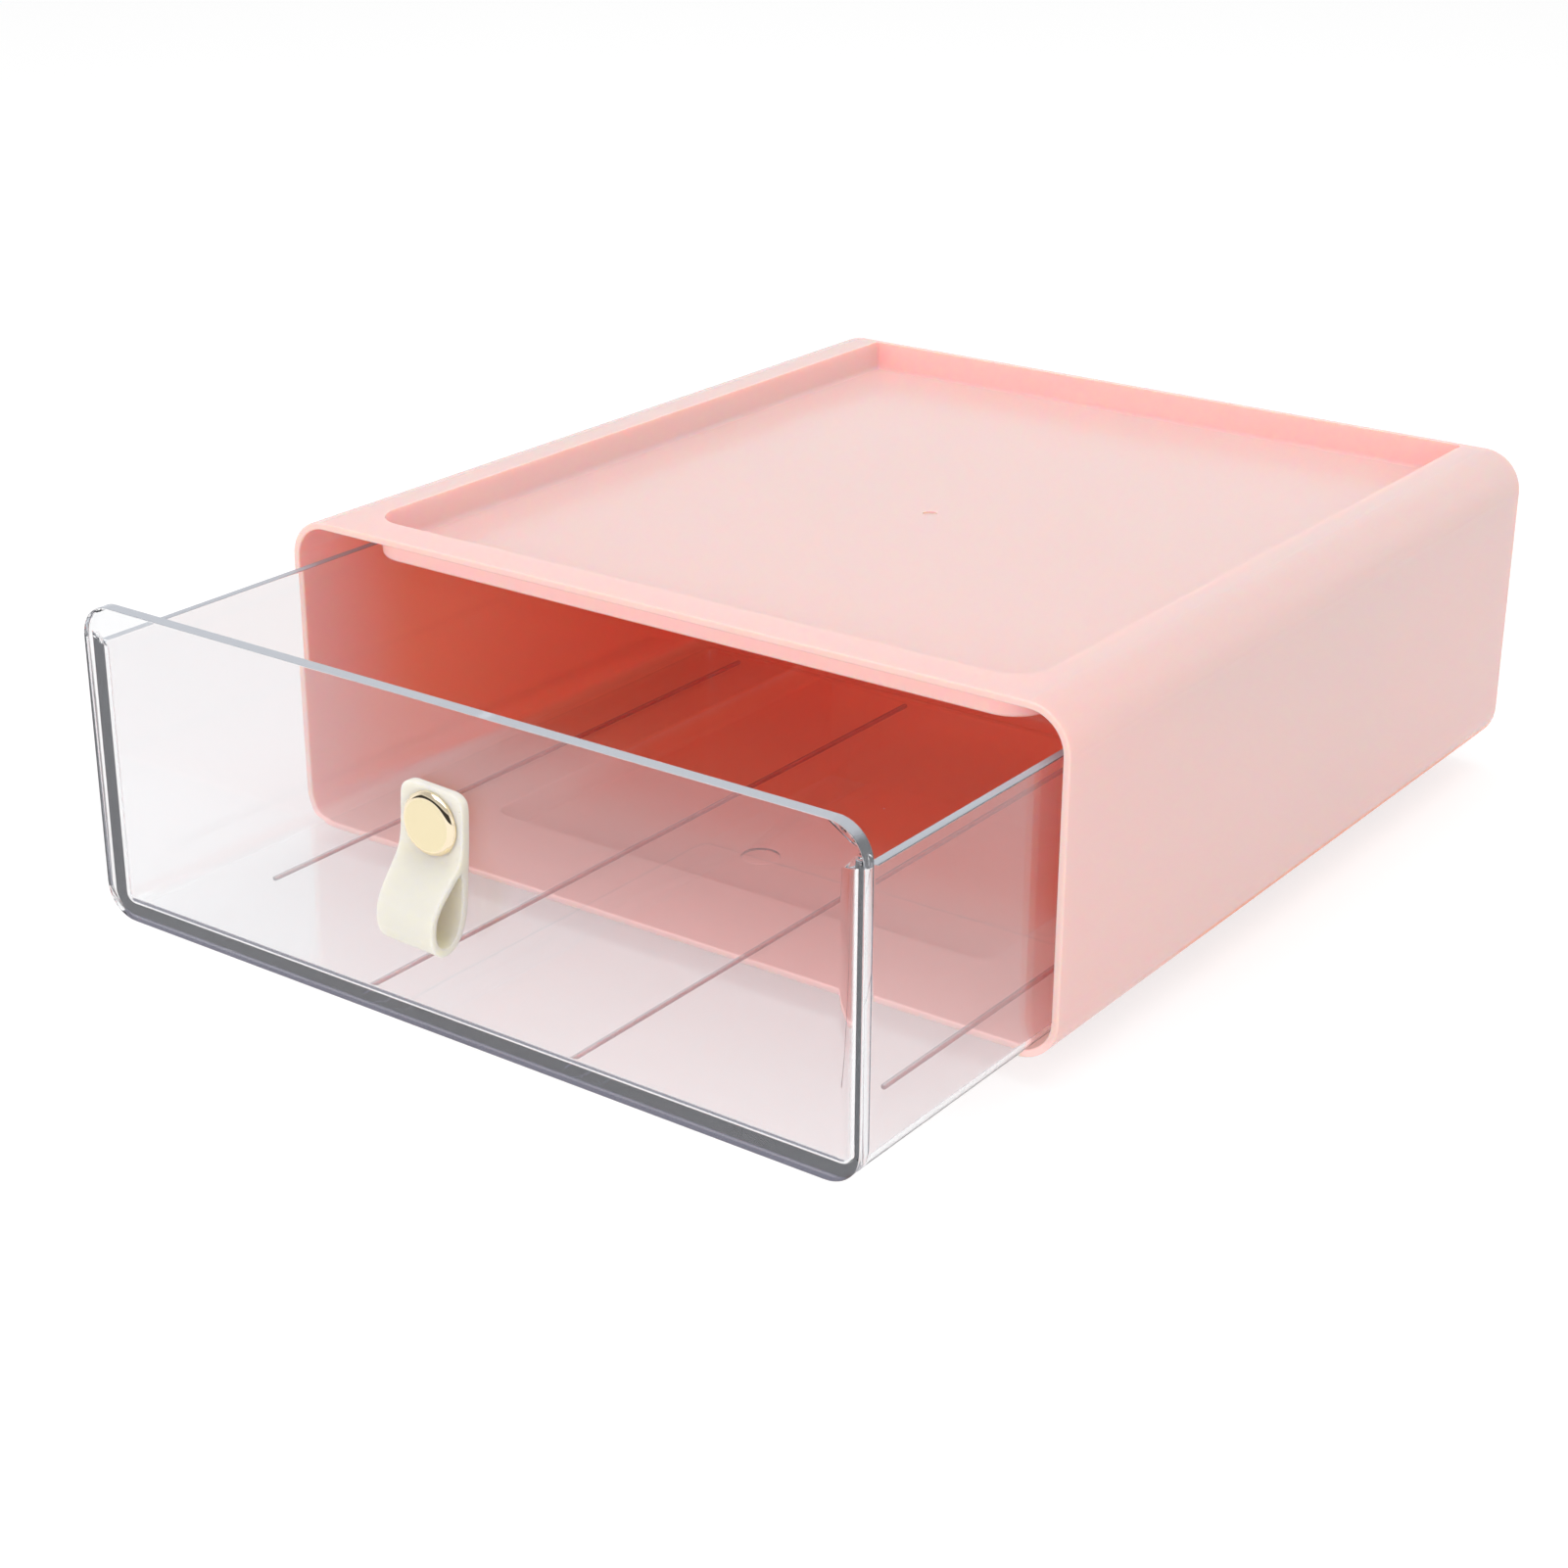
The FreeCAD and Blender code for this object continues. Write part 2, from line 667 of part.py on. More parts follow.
for item in document.Objects:
    if "Invalid" in item.State or "Error" in item.State:
        raise ValueError(item.Name + " failed: " + str(item.State))
for piece in pieces:
    if piece.Shape.isNull() or not piece.Shape.isValid() or len(piece.Shape.Solids) != 1:
        raise ValueError(piece.Label + " is not one valid solid")

os.makedirs("parts", exist_ok=True)
for piece in pieces:
    piece.Shape.exportStep("parts/" + piece.Label + ".step")
    box = piece.Shape.BoundBox
    print(piece.Label, "volume", round(piece.Shape.Volume), "box",
          [round(value, 2) for value in (box.XMin, box.YMin, box.ZMin, box.XMax, box.YMax, box.ZMax)])
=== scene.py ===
import math

import bmesh
import bpy
from mathutils import Matrix, Vector


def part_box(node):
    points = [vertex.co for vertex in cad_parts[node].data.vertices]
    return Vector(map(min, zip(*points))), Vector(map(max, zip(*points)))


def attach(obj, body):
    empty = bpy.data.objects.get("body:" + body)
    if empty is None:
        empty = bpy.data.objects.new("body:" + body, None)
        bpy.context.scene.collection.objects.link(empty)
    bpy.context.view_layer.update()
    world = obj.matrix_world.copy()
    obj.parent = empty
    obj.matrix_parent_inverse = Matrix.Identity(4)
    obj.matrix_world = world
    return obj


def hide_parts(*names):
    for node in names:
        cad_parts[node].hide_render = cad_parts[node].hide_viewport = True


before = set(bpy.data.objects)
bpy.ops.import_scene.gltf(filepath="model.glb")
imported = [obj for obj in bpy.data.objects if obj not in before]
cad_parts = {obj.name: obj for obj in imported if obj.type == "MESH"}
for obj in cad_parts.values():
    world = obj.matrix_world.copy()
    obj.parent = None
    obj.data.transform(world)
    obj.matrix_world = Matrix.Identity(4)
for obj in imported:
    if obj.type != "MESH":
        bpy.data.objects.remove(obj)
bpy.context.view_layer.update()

# Drawer box: a blush moulded sleeve, a clear drawer partly pulled out, and a cream strap pull on
# a gold rivet. X runs to the right, Y to the closed back and Z up. Lengths are in metres, but the
# named sizes of the pieces are in millimetres.

MM = 0.001

# Camera, as the photograph was taken
PHOTO_WIDTH = 1601
FOCAL_PIXELS = 2895.7
SENSOR = 36.0
CAMERA_PLACE = Vector((340.9, -527.05, 268.88)) * MM
CAMERA_YAW = 0.62732
CAMERA_PITCH = 0.39841
CAMERA_ROLL = 0.00408

# Colours, linear
BLUSH = (1.0, 0.57, 0.545)
BLUSH_DEEP = (0.90, 0.43, 0.37)
# Painted shade: the deeper, redder colour painted over the inside of the sleeve
PAINTED_CAVITY_SHADE = (1.0, 0.38, 0.22)
# Painted glows: deep inside the sleeve, and on the floor inside nearer the front
PAINTED_GLOW_THROUGH = (0.05, 0.0, 0.0)
PAINTED_GLOW_FROM_BELOW = (0.06, 0.07, 0.06)
# Painted shade for the panel's lower edge and the runners
PAINTED_SLATE_SHADE = (0.13, 0.13, 0.18)
CLEAR = (0.975, 0.98, 0.985)
# Haze of the clear plastic, also used for the painted glow of its upper edges
HAZE_AND_EDGE_GLOW = (0.80, 0.84, 0.92)
CREAM = (0.73, 0.695, 0.625)
CREAM_DEEP = (0.68, 0.63, 0.48)
GOLD = (0.98, 0.84, 0.62)
SATIN_GOLD = (1.0, 0.88, 0.60)
ZINC = (0.72, 0.72, 0.71)
TURNED_ZINC = (0.55, 0.56, 0.58)
LAMP_LIGHT_THROUGH_CLEAR = (0.965, 0.968, 0.97)
BLACK = (0.0, 0.0, 0.0)
WHITE = (1.0, 1.0, 1.0)

# Sleeve, in millimetres: places within its walls, floor, roof and back where the painted shade and
# glow of the inside begin, the well in its floor, and where the painted shade inside deepens. It
# sets in further back on the floor, which stays paler, and that fades with height. The floor's
# painted glow ends at a height of its own.
WALL_MIDDLE = 99.1
FLOOR_MIDDLE = 6.9
ROOF_MIDDLE = 71.9
BACK_MIDDLE = 103.8
WELL_HALF_WIDTH = 66.0
WELL_HALF_DEPTH = 78.5
WELL_FLOOR = 1.0
WELL_TOP = 8.5
PAINTED_SHADE_SPAN = (-105.0, -65.0)
PAINTED_PALE_FLOOR_REACH = 40.0
PAINTED_PALE_FADE = (9.0, 14.0)
PAINTED_FLOOR_GLOW_END = (9.0, 12.0)

# Drawer panel, in millimetres: half its width, the middle and half of its height, its thickness,
# its corners, and the rounding of its front edge on the solid and as it comes from the mould
PANEL_HALF = 97.2
PANEL_MIDDLE = 43.0
PANEL_HALF_HEIGHT = 35.1
PANEL_THICKNESS = 3.1
PANEL_CORNER = 7.6
SOLID_ROUND = 0.7
POLISHED_ROUND = 0.22

# Heights in the drawer's plastic, in millimetres above the table: the tub's underside, and where
# the painted glow of the upper edges sets in
TUB_UNDERSIDE = 8.5
PAINTED_EDGE_GLOW_START = (20.0, 30.0)

# How the panel's corner arcs are found on the drawer's mesh, in millimetres: how close two like
# measures lie, how deep the panel goes, the least reach of an arc, and its usual and its most rise
# over a chord. Then the number of cuts in each chord.
SAME = 0.002
PANEL_ZONE = 4.0
ARC_ZONE = 6.0
USUAL_RISE = 0.03
MOST_RISE = 0.07
CHORD_CUTS = 3

# Angle in degrees past which the drawer's edges stay sharp
SHARP_ANGLE = 32

# Shares of haze all through the clear plastic and of painted glow along its upper edges, and of
# painted slate shade along the panel's lower edge and on the runners
HAZE_SHARE = 0.03
PAINTED_EDGE_GLOW_SHARE = 0.42
PAINTED_LOWER_EDGE_SHARE = 0.85
PAINTED_RUNNER_SHARE = 0.45

# Floor of the studio: half its width in metres, its matt colour, the strength of its glow, and the
# glow's shares in what the camera sees and in what gloss and clear plastic show
FLOOR_HALF = 6.0
FLOOR_GREY = (0.84, 0.84, 0.84)
FLOOR_GLOW = 1.2
SEEN_SHARE = 0.6
SHOWN_SHARE = 0.36


# Shader sockets and nodes

class Socket:
    """A node's output that can be added, multiplied and compared like a number."""

    def __init__(self, paint, output):
        self.paint = paint
        self.output = output

    def join(self, operation, *others):
        return self.paint.node("ShaderNodeMath", {"operation": operation}, [self, *others])

    def __add__(self, other):
        return self.join("ADD", other)

    def __sub__(self, other):
        return self.join("SUBTRACT", other)

    def __mul__(self, other):
        return self.join("MULTIPLY", other)

    def __pow__(self, other):
        return self.join("POWER", other)

    __radd__ = __add__
    __rmul__ = __mul__

    def __rsub__(self, other):
        return self.paint.node("ShaderNodeMath", {"operation": "SUBTRACT"}, [other, self])

    def greatest(self, other):
        return self.join("MAXIMUM", other)

    def size(self):
        return self.join("ABSOLUTE")

    def past(self, edge, blend=0.4):
        """Rise from 0 to 1 in a narrow band at an edge. Both are in millimetres."""
        return self.ramp((edge - blend) * MM, (edge + blend) * MM)

    def ramp(self, low, high):
        """Rise smoothly from 0 at low to 1 at high."""
        values = {"Value": self, "From Min": low, "From Max": high}
        return self.paint.node("ShaderNodeMapRange", {"interpolation_type": "SMOOTHSTEP"}, values)


class Paint:
    """The nodes of a material or a world under construction."""

    def __init__(self, owner):
        self.owner = owner
        self.owner.use_nodes = True
        self.tree = self.owner.node_tree
        self.tree.nodes.clear()

    def node(self, kind, settings=None, values=None, output=0):
        """Add a node, set its settings and then its sockets, and return one of its outputs."""
        added = self.tree.nodes.new(kind)
        for name, value in (settings or {}).items():
            setattr(added, name, value)
        pairs = values.items() if isinstance(values, dict) else enumerate(values or [])
        for key, value in pairs:
            socket = added.inputs[key]
            if isinstance(value, Socket):
                self.tree.links.new(value.output, socket)
            elif isinstance(value, tuple) and socket.type == "RGBA":
                socket.default_value = (*value, 1.0)
            else:
                socket.default_value = value
        return Socket(self, added.outputs[output]) if added.outputs else None

    def place(self):
        return self.node("ShaderNodeTexCoord", output="Object")

    def parts(self, vector):
        """A vector's X, Y and Z as three sockets."""
        outputs = self.node("ShaderNodeSeparateXYZ", values=[vector]).output.node.outputs
        return [Socket(self, outputs[name]) for name in ("X", "Y", "Z")]

    def axes(self):
        return self.parts(self.place())

    def noise(self, scale, detail=2.0):
        values = {"Vector": self.place(), "Scale": scale, "Detail": detail}
        return self.node("ShaderNodeTexNoise", values=values)

    def specks(self, scale, reach):
        """Small round spots, one in most cells: 1 at a spot's middle and 0 past its reach."""
        values = {"Vector": self.place(), "Scale": scale}
        return 1 - self.node("ShaderNodeTexVoronoi", values=values).ramp(reach / 2, reach)

    def mix(self, factor, first, second):
        values = {"Factor": factor, 6: first, 7: second}
        return self.node("ShaderNodeMix", {"data_type": "RGBA"}, values, output=2)

    def bump(self, height, strength, distance):
        values = {"Height": height, "Strength": strength, "Distance": distance}
        return self.node("ShaderNodeBump", values=values)

    def shader(self, **values):
        named = {name.replace("_", " "): value for name, value in values.items()}
        return self.node("ShaderNodeBsdfPrincipled", values=named)

    def light_path(self, *names):
        """For each name of a kind of ray, a socket that is 1 on such rays."""
        outputs = self.node("ShaderNodeLightPath").output.node.outputs
        return [Socket(self, outputs[name]) for name in names]

    def blend(self, factor, first, second):
        """Mix two shaders."""
        return self.node("ShaderNodeMixShader", values=[factor, first, second])

    def finish(self, surface):
        self.node("ShaderNodeOutputMaterial", values={"Surface": surface})
        return self.owner


def new_paint(name):
    return Paint(bpy.data.materials.new(name))


def let_light_in(surface, weight, radius, scale):
    """Let a principled shader's light spread under its skin."""
    inputs = surface.output.node.inputs
    inputs["Subsurface Weight"].default_value = weight
    inputs["Subsurface Radius"].default_value = radius
    inputs["Subsurface Scale"].default_value = scale


# Materials

def moulded_blush():
    """Semi-gloss pink plastic with a faint flow in its colour and a thin moulded wall's waviness.

    The colour is painted deeper inside the sleeve, as painted shade for light that passes the
    plastic again and again, and has a painted glow there as if light came through the walls. A
    painted glow on the floor inside stands in for the light it throws back.
    """
    paint = new_paint("moulded_blush")
    x, y, z = paint.axes()
    between_walls = (1 - x.size().past(WALL_MIDDLE)) * z.past(FLOOR_MIDDLE)
    between_walls = between_walls * (1 - z.past(ROOF_MIDDLE))
    well = (1 - x.size().past(WELL_HALF_WIDTH, 0.5)) * (1 - y.size().past(WELL_HALF_DEPTH, 0.5))
    well = well * z.past(WELL_FLOOR) * (1 - z.past(WELL_TOP, 0.5))
    inside = between_walls.greatest(well) * (1 - y.past(BACK_MIDDLE))
    # Painted shade: the inside is painted deeper from the front towards the back, and on the floor
    # it sets in further back
    low = 1 - z.ramp(PAINTED_PALE_FADE[0] * MM, PAINTED_PALE_FADE[1] * MM)
    painted_shade_inside = inside * (y - low * (PAINTED_PALE_FLOOR_REACH * MM)).ramp(PAINTED_SHADE_SPAN[0] * MM, PAINTED_SHADE_SPAN[1] * MM)
    # Where the floor's painted glow applies
    floor = inside * (1 - z.ramp(PAINTED_FLOOR_GLOW_END[0] * MM, PAINTED_FLOOR_GLOW_END[1] * MM))

    flow = paint.noise(14.0, detail=3.0)
    grain = paint.noise(2600.0, detail=1.0)
    wave = paint.noise(22.0, detail=1.0)
    # Painted shade: inside the sleeve the base colour is painted deeper
    skin = {
        "Base_Color": paint.mix(painted_shade_inside, paint.mix(flow * 0.10, BLUSH, BLUSH_DEEP), PAINTED_CAVITY_SHADE),
        "Roughness": 0.20 + flow * 0.08,
        "Normal": paint.bump(grain * 0.012 + wave, 0.25, 0.00018),
        "IOR": 1.5,
        "Emission_Strength": 1.0,
    }
    # Painted glow deep inside the sleeve, standing in for light through the walls
    wall = paint.shader(Emission_Color=paint.mix(painted_shade_inside, BLACK, PAINTED_GLOW_THROUGH), **skin)
    let_light_in(wall, 0.9, (1.0, 0.26, 0.14), 0.007)
    # On the floor inside, a painted glow from below takes the place of light under the skin
    floor_with_painted_glow = paint.shader(Emission_Color=paint.mix(painted_shade_inside, PAINTED_GLOW_FROM_BELOW, PAINTED_GLOW_THROUGH), **skin)
    return paint.finish(paint.blend(floor, wall, floor_with_painted_glow))


def clear_moulded(panel_front):
    """Clear polished plastic, faintly wavy, with a breath of haze in it and a few specks of dust.

    Its upper edges carry a painted glow for the light that runs up inside the walls. The panel's
    lower edge and the runners carry painted slate shade. Lamps shine through it.
    """
    paint = new_paint("clear_moulded")
    wave = paint.noise(30.0, detail=1.0)
    dust = paint.specks(34.0, 0.012)
    normal = paint.bump(wave, 0.12, 0.0002)
    glass = paint.shader(Base_Color=CLEAR, Roughness=0.01 + dust * 0.3, Normal=normal, IOR=1.53,
                         Transmission_Weight=1.0)

    _, y, z = paint.axes()
    depth = y - panel_front
    _, _, facing_up = paint.parts(paint.node("ShaderNodeNewGeometry", output="Normal"))
    # Painted glow: haze along the upper edges for the light that runs up inside the walls
    high_up = z.ramp(PAINTED_EDGE_GLOW_START[0] * MM, PAINTED_EDGE_GLOW_START[1] * MM)
    painted_edge_glow = facing_up.ramp(0.55, 0.85) * high_up
    # Painted shade: slate along the panel's lower edge and on the runners
    painted_lower_edge = depth.past(0.125, 0.075) * (1 - depth.past(PANEL_THICKNESS + 0.2, 0.1))
    painted_lower_edge = painted_lower_edge * (1 - z.past(TUB_UNDERSIDE + 0.6, 0.1))
    painted_runner_shade = depth.past(PANEL_THICKNESS + 0.8, 0.1) * (1 - z.past(TUB_UNDERSIDE - 0.2, 0.1))
    haze_and_edge_glow = paint.node("ShaderNodeBsdfDiffuse", values={"Color": HAZE_AND_EDGE_GLOW})
    painted_slate = paint.node("ShaderNodeBsdfDiffuse", values={"Color": PAINTED_SLATE_SHADE})
    haze_and_painted_glow = paint.blend(HAZE_SHARE + painted_edge_glow * PAINTED_EDGE_GLOW_SHARE, glass, haze_and_edge_glow)
    edges = painted_lower_edge * PAINTED_LOWER_EDGE_SHARE + painted_runner_shade * PAINTED_RUNNER_SHARE
    with_painted_slate = paint.blend(edges, haze_and_painted_glow, painted_slate)

    shadow, spread = paint.light_path("Is Shadow Ray", "Is Diffuse Ray")
    passing = paint.node("ShaderNodeBsdfTransparent", values={"Color": LAMP_LIGHT_THROUGH_CLEAR})
    return paint.finish(paint.blend(shadow.greatest(spread), with_painted_slate, passing))


def soft_cream():
    """Matt cream strap with a little light inside it and a very fine skin."""
    paint = new_paint("soft_cream")
    skin = paint.noise(1500.0, detail=3.0)
    cloud = paint.noise(90.0, detail=2.0)
    colour = paint.mix(cloud * 0.25, CREAM, CREAM_DEEP)
    normal = paint.bump(skin, 0.12, 0.00006)
    surface = paint.shader(Base_Color=colour, Roughness=0.48 + skin * 0.12, Normal=normal, IOR=1.45)
    let_light_in(surface, 1.0, (1.0, 0.93, 0.55), 0.006)
    return paint.finish(surface)


def brushed_gold(centre):
    """Pale gold, satin on the flat face and polished on the bevel round it."""
    paint = new_paint("brushed_gold")
    x, _, z = paint.axes()
    across = x - centre.x
    up = z - centre.z
    reach = (across * across + up * up) ** 0.5
    polished = reach.past(FACE_REACH, 0.05)
    rings = paint.node("ShaderNodeCombineXYZ", values=[reach * 9000.0, 0.0, 0.0])
    turning = paint.node("ShaderNodeTexNoise",
                         values={"Vector": rings, "Scale": 1.0, "Detail": 2.0})
    satin = paint.noise(900.0, detail=2.0)
    roughness = (0.40 + satin * 0.08) * (1 - polished) + 0.05 * polished
    normal = paint.bump(turning * (1 - polished), 0.10, 0.00003)
    colour = paint.mix(polished, SATIN_GOLD, GOLD)
    surface = paint.shader(Base_Color=colour, Roughness=roughness, Metallic=1.0, Normal=normal)
    return paint.finish(surface)


def zinc_plate():
    paint = new_paint("zinc_plate")
    turned = paint.noise(700.0, detail=4.0)
    colour = paint.mix(turned * 0.4, ZINC, TURNED_ZINC)
    normal = paint.bump(turned, 0.15, 0.00004)
    roughness = 0.22 + turned * 0.2
    surface = paint.shader(Base_Color=colour, Roughness=roughness, Metallic=1.0, Normal=normal)
    return paint.finish(surface)


def paint_node(name, material):
    """Give a carried CAD node its finished material."""
    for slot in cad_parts[name].material_slots:
        slot.material = material


# Pieces

def new_piece(name, mesh, material, body):
    """Make a finished object of a bmesh, at the origin, riding on a body."""
    data = bpy.data.meshes.new(name)
    mesh.to_mesh(data)
    mesh.free()
    data.materials.append(material)
    for face in data.polygons:
        face.use_smooth = True
    piece = bpy.data.objects.new(name, data)
    bpy.context.scene.collection.objects.link(piece)
    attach(piece, body)
    return piece


def add_smoothing(piece, levels):
    smooth = piece.modifiers.new("smoothing", "SUBSURF")
    smooth.levels = levels
    smooth.render_levels = levels


def from_corner(point):
    """How far out a point lies from the nearest corner's centre, across the panel and along it."""
    across = abs(point.x) - (PANEL_HALF - PANEL_CORNER) * MM
    along = abs(point.z - PANEL_MIDDLE * MM) - (PANEL_HALF_HEIGHT - PANEL_CORNER) * MM
    return across, along


def corner_place(point, panel_front):
    """A point's depth behind the panel's front, and its reach from its corner's centre.

    The reach is 0 where the point lies outside the rounded corner.
    """
    across, along = from_corner(point)
    reach = math.hypot(across, along) if across > 0.0 and along > 0.0 else 0.0
    return point.y - panel_front, reach


def refine_corners(drawer, panel_front):
    """Divide the panel's corner arcs, and push the new vertices out onto the arcs."""
    chords = []
    arcs = set()
    for edge in drawer.edges:
        near, far = edge.verts
        depth, reach = corner_place(near.co, panel_front)
        far_depth, far_reach = corner_place(far.co, panel_front)
        level = abs(depth - far_depth) < SAME * MM and abs(reach - far_reach) < SAME * MM
        if level and depth < PANEL_ZONE * MM and min(reach, far_reach) > ARC_ZONE * MM:
            chords.append(edge)
            arcs.add(reach)
    bmesh.ops.subdivide_edges(drawer, edges=chords, cuts=CHORD_CUTS, use_grid_fill=True)
    for vert in drawer.verts:
        depth, reach = corner_place(vert.co, panel_front)
        if depth < PANEL_ZONE * MM and reach > ARC_ZONE * MM:
            arc = min(arcs, key=lambda radius: abs(radius - reach - USUAL_RISE * MM))
            if -SAME / 2 * MM < arc - reach < MOST_RISE * MM:
                across, along = from_corner(vert.co)
                stretch = arc / reach - 1
                vert.co.x += math.copysign(across, vert.co.x) * stretch
                vert.co.z += math.copysign(along, vert.co.z - PANEL_MIDDLE * MM) * stretch


def sharpen_front_edge(drawer, panel_front):
    """Draw the rounding of the panel's front edge in towards the edge."""
    kept = POLISHED_ROUND / SOLID_ROUND
    for vert in drawer.verts:
        depth = vert.co.y - panel_front
        across, along = from_corner(vert.co)
        if across > 0.0 and along > 0.0:
            outward = Vector((across, 0.0, along)).normalized()
        else:
            outward = Vector((1.0, 0.0, 0.0)) if across > along else Vector((0.0, 0.0, 1.0))
        inset = PANEL_CORNER * MM - outward.dot(Vector((across, 0.0, along)))
        if max(depth, inset) < (SOLID_ROUND + 0.01) * MM:
            outward.x = math.copysign(outward.x, vert.co.x)
            outward.z = math.copysign(outward.z, vert.co.z - PANEL_MIDDLE * MM)
            vert.co += outward * inset * (1.0 - kept)
            vert.co.y = panel_front + depth * kept


def make_drawer(panel_front, material):
    """Copy the drawer, merge it and give its panel finer corners and a crisper front edge."""
    drawer = bmesh.new()
    drawer.from_mesh(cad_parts["drawer"].data)
    bmesh.ops.remove_doubles(drawer, verts=drawer.verts, dist=0.001 * MM)
    refine_corners(drawer, panel_front)
    sharpen_front_edge(drawer, panel_front)
    bmesh.ops.recalc_face_normals(drawer, faces=drawer.faces)
    piece = new_piece("clear_drawer", drawer, material, "drawer")
    piece.data.set_sharp_from_angle(angle=math.radians(SHARP_ANGLE))
    evened = piece.modifiers.new("even_faces", "WEIGHTED_NORMAL")
    evened.mode = "FACE_AREA"
    evened.keep_sharp = True
    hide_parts("drawer")


# Strap pull, all in millimetres from the rivet's axis and the panel's front face.
# Rows down the tab: front depth, back depth, height, half width, dip of the front towards the cap
TAB_ROWS = (
    (1.70, 0.30, 7.40, 4.5, 0.0),
    (2.05, 0.12, 7.05, 6.2, 0.0),
    (2.20, 0.08, 6.15, 7.5, 0.1),
    (2.25, 0.08, 4.50, 7.9, 0.2),
    (2.25, 0.08, 0.80, 7.9, 0.2),
    (2.35, 0.08, -2.8, 7.9, 0.35),
    (2.70, 0.08, -5.3, 7.85, 0.8),
)
# Rows round the loop: outer depth and height, inner depth and height, half width, dip of both faces
LOOP_ROWS = (
    (3.50, -7.00, 2.00, -8.00, 7.75, 1.1),
    (4.80, -8.60, 3.40, -9.60, 7.6, 0.7),
    (6.50, -10.6, 5.10, -11.5, 7.4, 0.3),
    (8.40, -12.9, 7.00, -13.6, 7.3, 0.1),
    (9.90, -15.6, 8.35, -15.9, 7.2, 0.0),
    (10.28, -18.2, 8.70, -18.1, 7.2, 0.0),
    (10.1, -20.8, 8.60, -20.3, 7.15, 0.0),
    (8.90, -23.1, 7.85, -21.8, 7.1, 0.0),
    (6.80, -24.7, 6.30, -23.0, 7.1, 0.0),
    (4.10, -24.4, 4.45, -22.7, 7.15, 0.0),
    (1.95, -22.6, 3.05, -21.4, 7.2, 0.0),
    (0.65, -19.4, 2.15, -18.8, 7.35, 0.0),
    (0.10, -15.8, 1.75, -15.6, 7.5, 0.0),
    (0.08, -12.0, 1.75, -12.0, 7.65, 0.0),
)
STRAP_ACROSS = (-1.0, -0.93, -0.55, 0.0, 0.55, 0.93, 1.0)
STRAP_LEAN = 2.4
STRAP_EYE = 2.08
DRILL_LENGTH = 12.0


def make_strap(rivet, panel_front, material):
    """Draw the strap's side view as a cage of quads, push it out across its width and smooth it."""
    cage = bmesh.new()
    half_width = cage.verts.layers.float.new("half_width")
    dip = cage.verts.layers.float.new("dip")

    def corner(depth, height, half, hollow):
        vert = cage.verts.new((STRAP_ACROSS[0], panel_front - depth * MM, height * MM))
        vert[half_width] = half * MM
        vert[dip] = hollow * MM
        return vert

    tab = []
    for front, back, height, half, hollow in TAB_ROWS:
        tab.append([corner(front, height, half, hollow),
                    corner((front + back) / 2, height, half, 0.0),
                    corner(back, height, half, 0.0)])
    loop = [[corner(outer_depth, outer_height, half, hollow),
             corner(inner_depth, inner_height, half, hollow)]
            for outer_depth, outer_height, inner_depth, inner_height, half, hollow in LOOP_ROWS]
    apex = loop[0][1]
    seat = corner(TAB_ROWS[-1][1], LOOP_ROWS[0][3], LOOP_ROWS[0][4], 0.0)
    for upper, lower in zip(tab, tab[1:] + [[loop[0][0], apex, seat]]):
        cage.faces.new((upper[0], upper[1], lower[1], lower[0]))
        cage.faces.new((upper[1], upper[2], lower[2], lower[1]))
    for first, second in zip(loop, loop[1:] + [[seat, apex]]):
        cage.faces.new((first[0], first[1], second[1], second[0]))

    faces = cage.faces[:]
    for before, after in zip(STRAP_ACROSS, STRAP_ACROSS[1:]):
        pushed = bmesh.ops.extrude_face_region(cage, geom=faces)["geom"]
        if before > STRAP_ACROSS[0]:
            bmesh.ops.delete(cage, geom=faces, context="FACES_ONLY")
        moved = [item for item in pushed if isinstance(item, bmesh.types.BMVert)]
        faces = [item for item in pushed if isinstance(item, bmesh.types.BMFace)]
        bmesh.ops.translate(cage, verts=moved, vec=(after - before, 0.0, 0.0))
    for vert in cage.verts:
        across = vert.co.x
        vert.co.y += vert[dip] * max(0.0, 1.0 - (across / STRAP_ACROSS[-2]) ** 2)
        vert.co.x = across * vert[half_width]
    bmesh.ops.recalc_face_normals(cage, faces=cage.faces)
    lean = Matrix.Rotation(math.radians(STRAP_LEAN), 3, "Y")
    bmesh.ops.rotate(cage, verts=cage.verts, matrix=lean)
    bmesh.ops.translate(cage, verts=cage.verts, vec=(rivet.x, 0.0, rivet.z))

    piece = new_piece("strap_loop", cage, material, "strap")
    add_smoothing(piece, 3)
    drill_eye(piece, rivet, panel_front)
    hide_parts("pull_strap")


def drill_eye(piece, rivet, panel_front):
    """Cut the eye for the rivet's post, and keep the result as the piece's own mesh."""
    drill = bmesh.new()
    turn = Matrix.Rotation(math.radians(90), 4, "X")
    place = Matrix.Translation((rivet.x, panel_front, rivet.z)) @ turn
    bmesh.ops.create_cone(drill, cap_ends=True, segments=48, radius1=STRAP_EYE * MM,
                          radius2=STRAP_EYE * MM, depth=DRILL_LENGTH * MM, matrix=place)
    data = bpy.data.meshes.new("eye_drill")
    drill.to_mesh(data)
    drill.free()
    cutter = bpy.data.objects.new("eye_drill", data)
    bpy.context.scene.collection.objects.link(cutter)
    cut = piece.modifiers.new("eye", "BOOLEAN")
    cut.operation = "DIFFERENCE"
    cut.solver = "EXACT"
    cut.object = cutter
    evaluated = piece.evaluated_get(bpy.context.evaluated_depsgraph_get())
    finished = bpy.data.meshes.new_from_object(evaluated)
    piece.modifiers.clear()
    piece.data = finished
    bpy.data.objects.remove(cutter)


